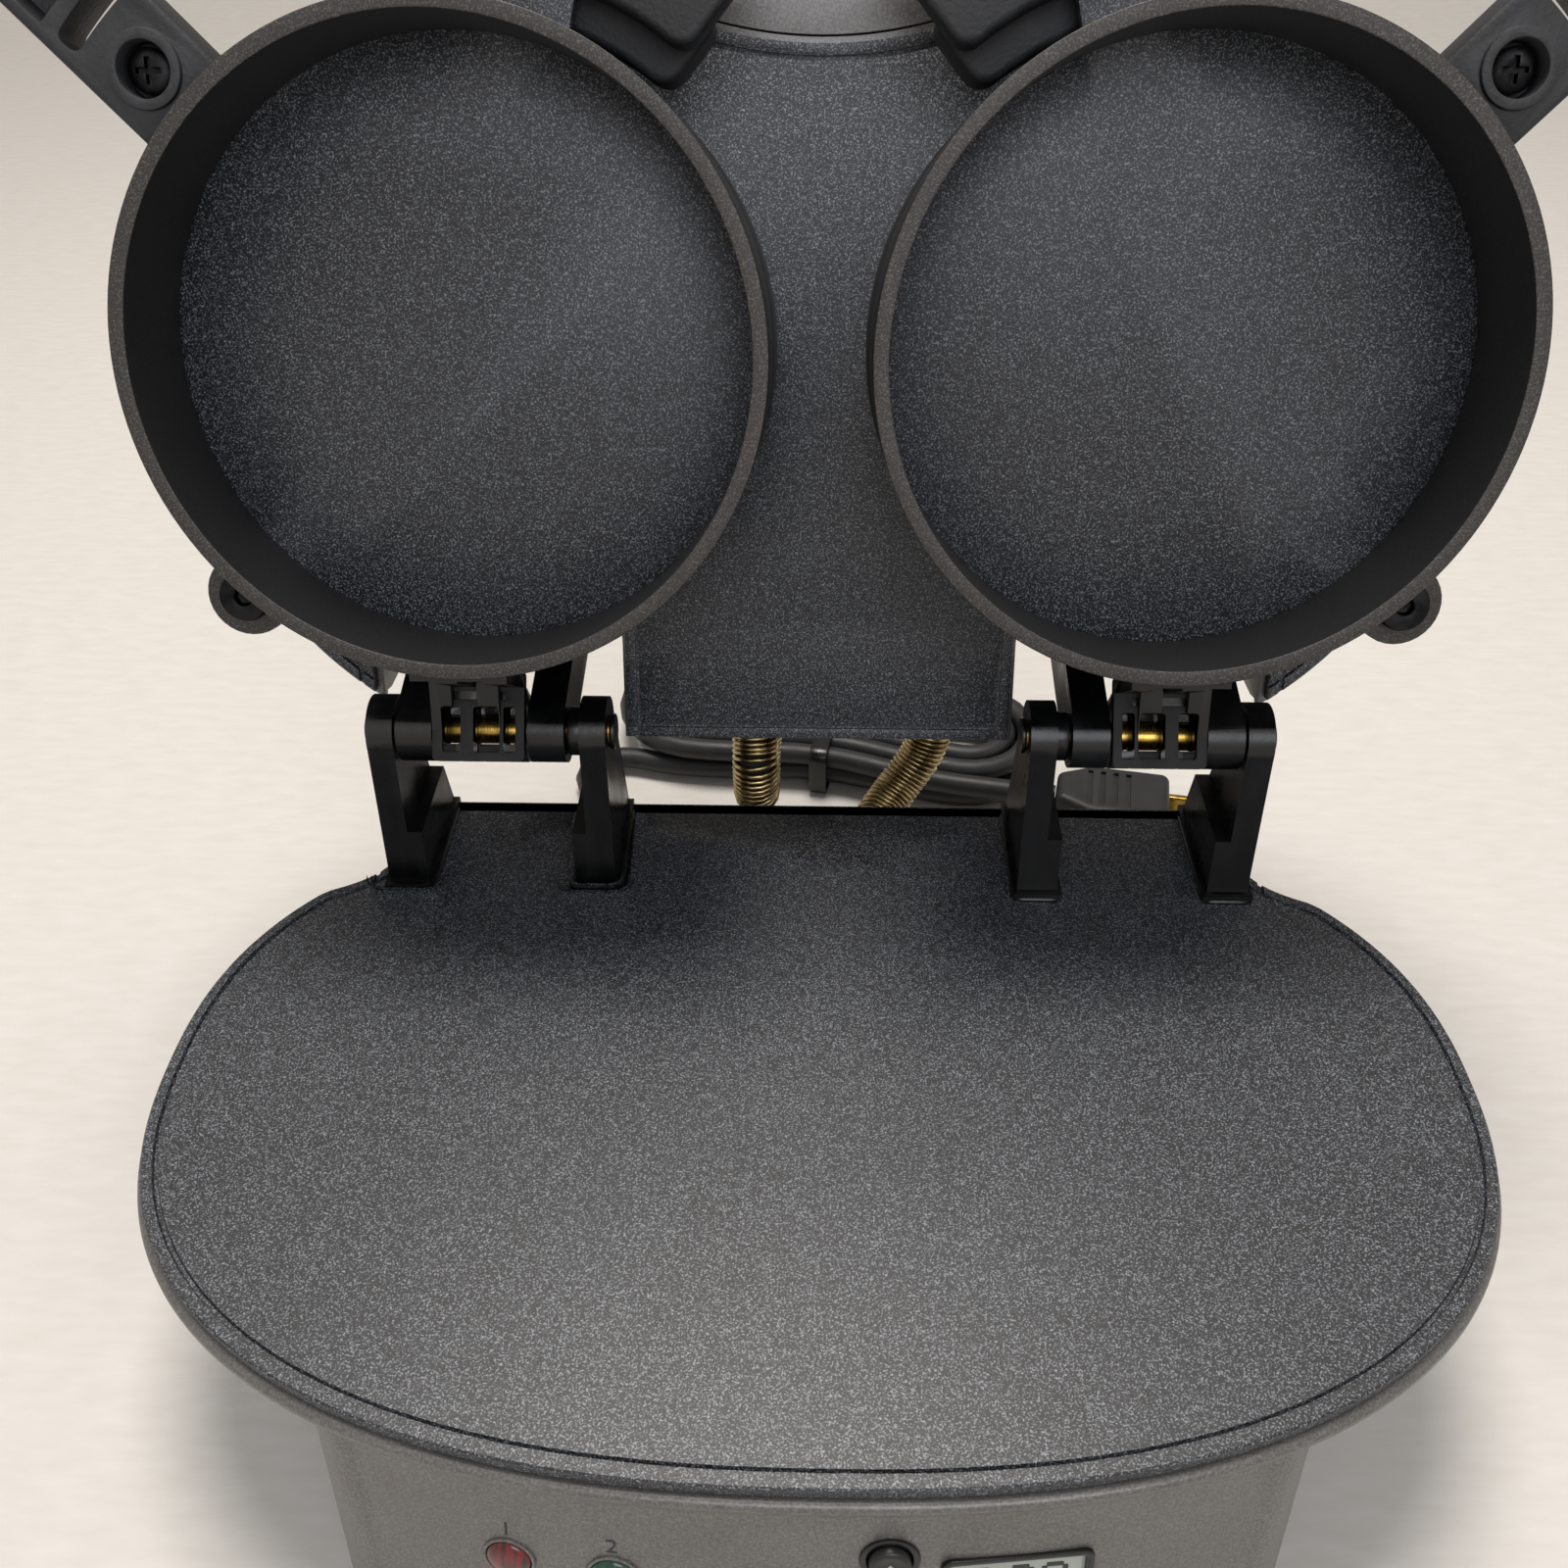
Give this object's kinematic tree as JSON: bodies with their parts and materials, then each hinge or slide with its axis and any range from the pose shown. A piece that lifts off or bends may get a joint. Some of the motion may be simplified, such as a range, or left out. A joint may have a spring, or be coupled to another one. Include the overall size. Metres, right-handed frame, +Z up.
{
  "type": "breakfast sandwich maker",
  "caption": "Countertop cooker with a hinged lid: a wide lower plate, an upper plate, and side by side stacked rings with swing-out egg plates, shown open.",
  "frame": {"origin": "centre of the bounding box without the cord, at the table under the feet", "axes": "+X to the object's right, +Y to its back where the hinge is, +Z up"},
  "size_m": [0.262, 0.2873, 0.2393],
  "materials": {
    "silver_paint": "satin metallic paint on plastic",
    "coated_aluminium": "dark speckled non-stick coating",
    "black_plastic": "gloss",
    "textured_plastic": "fine grain",
    "brass": "worn satin",
    "steel": "satin",
    "conduit_wire": "warm nickel",
    "rubber": "matte",
    "cord_rubber": "satin",
    "circuit_board": "satin",
    "red_lens": "clear gloss",
    "green_lens": "clear gloss"
  },
  "bodies": {
    "base": {"base_housing": "silver_paint", "bottom_cover": "black_plastic", "rubber_foot_front_left": "rubber", "rubber_foot_rear_left": "rubber", "rubber_foot_front_right": "rubber", "rubber_foot_rear_right": "rubber", "cover_screw_front_left": "steel", "cover_screw_rear_left": "steel", "cover_screw_front_right": "steel", "cover_screw_rear_right": "steel", "lower_heating_plate": "coated_aluminium", "lower_heating_element": "steel", "lower_thermostat": "steel", "control_board": "circuit_board", "display_module": "black_plastic", "display_window": "black_plastic", "power_lens": "red_lens", "preheat_lens": "green_lens", "conduit_gland_base": "black_plastic", "strain_relief": "cord_rubber", "hinge_bracket_left": "black_plastic", "hinge_bracket_right": "black_plastic", "hinge_pin_left": "brass", "hinge_pin_right": "brass", "flexible_conduit": "conduit_wire", "conduit_lead": "cord_rubber", "power_cord": "cord_rubber", "cord_hank": "cord_rubber", "cord_tie": "black_plastic", "plug": "cord_rubber"},
    "cover": {"cover_housing": "silver_paint", "upper_heating_plate": "coated_aluminium", "upper_heating_element": "steel", "upper_thermostat": "steel", "cover_handle": "textured_plastic", "conduit_gland_cover": "black_plastic", "cover_hinge_arm_left": "black_plastic", "cover_hinge_arm_right": "black_plastic"},
    "ring_set_left": {"bottom_ring_left": "coated_aluminium", "bottom_ring_hooks_left": "black_plastic", "bottom_ring_handle_left": "textured_plastic", "handle_screw_left": "steel", "top_ring_left": "coated_aluminium", "top_ring_hooks_left": "black_plastic", "top_ring_handle_left": "textured_plastic", "egg_plate_pivot_left": "steel"},
    "egg_set_left": {"egg_plate_left": "coated_aluminium", "egg_plate_handle_left": "textured_plastic"},
    "ring_set_right": {"bottom_ring_right": "coated_aluminium", "bottom_ring_hooks_right": "black_plastic", "bottom_ring_handle_right": "textured_plastic", "handle_screw_right": "steel", "top_ring_right": "coated_aluminium", "top_ring_hooks_right": "black_plastic", "top_ring_handle_right": "textured_plastic", "egg_plate_pivot_right": "steel"},
    "egg_set_right": {"egg_plate_right": "coated_aluminium", "egg_plate_handle_right": "textured_plastic"},
    "upper_button": {"timer_button_upper": "black_plastic"},
    "lower_button": {"timer_button_lower": "black_plastic"}
  },
  "joints": [
    {"name": "cover_hinge", "type": "hinge", "parent": "base", "child": "cover", "pos_m": [0, 0.03086, 0.091], "axis": [1, 0, 0], "range_deg": [0, 110], "deforming": ["flexible_conduit", "conduit_lead"]},
    {"name": "ring_hinge_left", "type": "hinge", "parent": "cover", "child": "ring_set_left", "pos_m": [0, 0.03086, 0.091], "axis": [-1, 0, 0], "range_deg": [-110, 0]},
    {"name": "ring_hinge_right", "type": "hinge", "parent": "cover", "child": "ring_set_right", "pos_m": [0, 0.03086, 0.091], "axis": [-1, 0, 0], "range_deg": [-110, 0]},
    {"name": "egg_plate_swing_left", "type": "hinge", "parent": "ring_set_left", "child": "egg_set_left", "pos_m": [-0.10443, 0.03154, 0.12329], "axis": [0, -0.9397, 0.342], "range_deg": [0, 85]},
    {"name": "egg_plate_swing_right", "type": "hinge", "parent": "ring_set_right", "child": "egg_set_right", "pos_m": [0.10443, 0.03154, 0.12329], "axis": [0, 0.9397, -0.342], "range_deg": [0, 85]},
    {"name": "timer_button_upper_press", "type": "slide", "parent": "base", "child": "upper_button", "axis": [-0.0277, 0.972, -0.2334], "range_m": [0, 0.001], "stiffness_N_per_m": 400},
    {"name": "timer_button_lower_press", "type": "slide", "parent": "base", "child": "lower_button", "axis": [-0.0277, 0.972, -0.2334], "range_m": [0, 0.001], "stiffness_N_per_m": 400}
  ]
}
